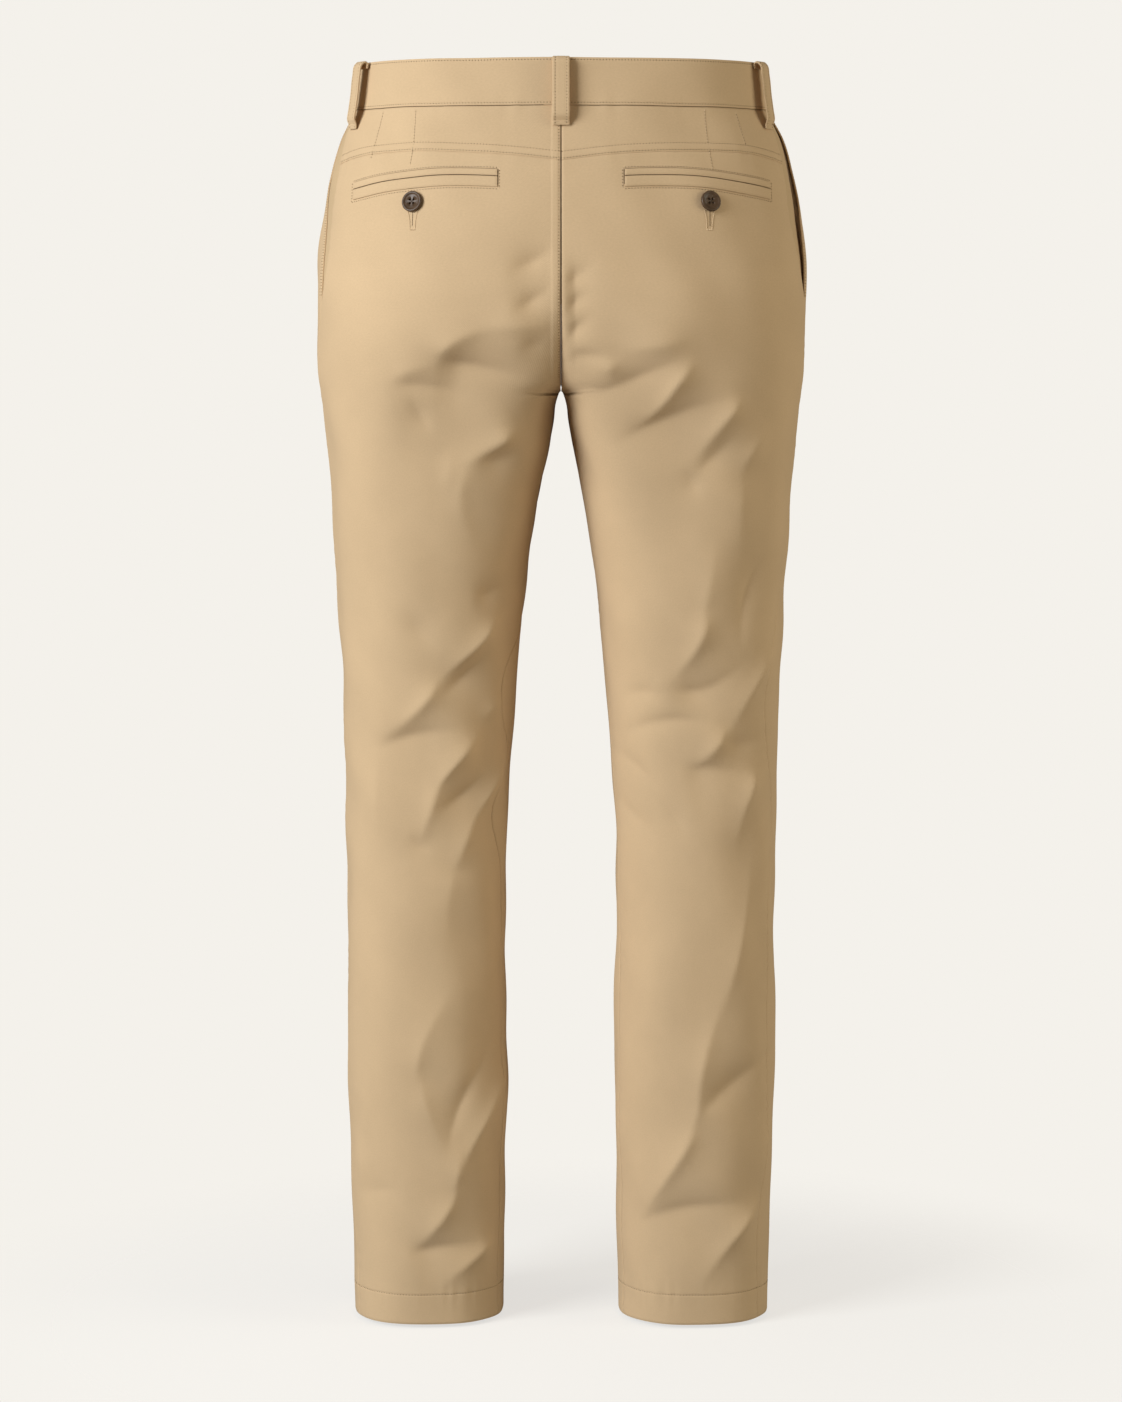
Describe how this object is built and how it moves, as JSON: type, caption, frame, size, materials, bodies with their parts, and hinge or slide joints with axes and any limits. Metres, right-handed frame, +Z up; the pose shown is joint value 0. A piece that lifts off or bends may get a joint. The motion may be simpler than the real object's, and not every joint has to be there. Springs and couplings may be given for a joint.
{
  "type": "chino trousers",
  "caption": "Straight chino trousers filled out as worn, with belt loops, slanted side pockets, buttoned welt back pockets and a fly, open at the waist and hems.",
  "frame": {"origin": "centre of the waistband, at half its height, where the wearer's waist holds the trousers up", "axes": "+Z up, +X towards the wearer's left, -Y to the front"},
  "size_m": [0.3989, 0.2671, 1.0347],
  "materials": {
    "cloth": "matt cotton twill",
    "facing": "matt cotton twill",
    "button": "satin",
    "zip_tape": "matt woven tape",
    "zip_metal": "satin"
  },
  "bodies": {
    "root": {"back_left": "cloth", "back_right": "cloth", "back_yoke_left": "cloth", "back_yoke_right": "cloth", "front_left": "cloth", "front_right": "cloth", "waistband_left": "cloth", "waistband_right": "cloth", "welt_upper_left": "cloth", "welt_upper_right": "cloth", "welt_lower_left": "cloth", "welt_lower_right": "cloth", "belt_loop_back": "cloth", "belt_loop_side_left": "cloth", "belt_loop_side_right": "cloth", "belt_loop_front_left": "cloth", "belt_loop_front_right": "cloth", "pocket_facing_left": "facing", "pocket_facing_right": "facing", "back_button_left": "button", "back_button_right": "button", "waist_button": "button", "zip_tape_left": "zip_tape", "zip_tape_right": "zip_tape", "zip_slider": "zip_metal"}
  },
  "joints": []
}
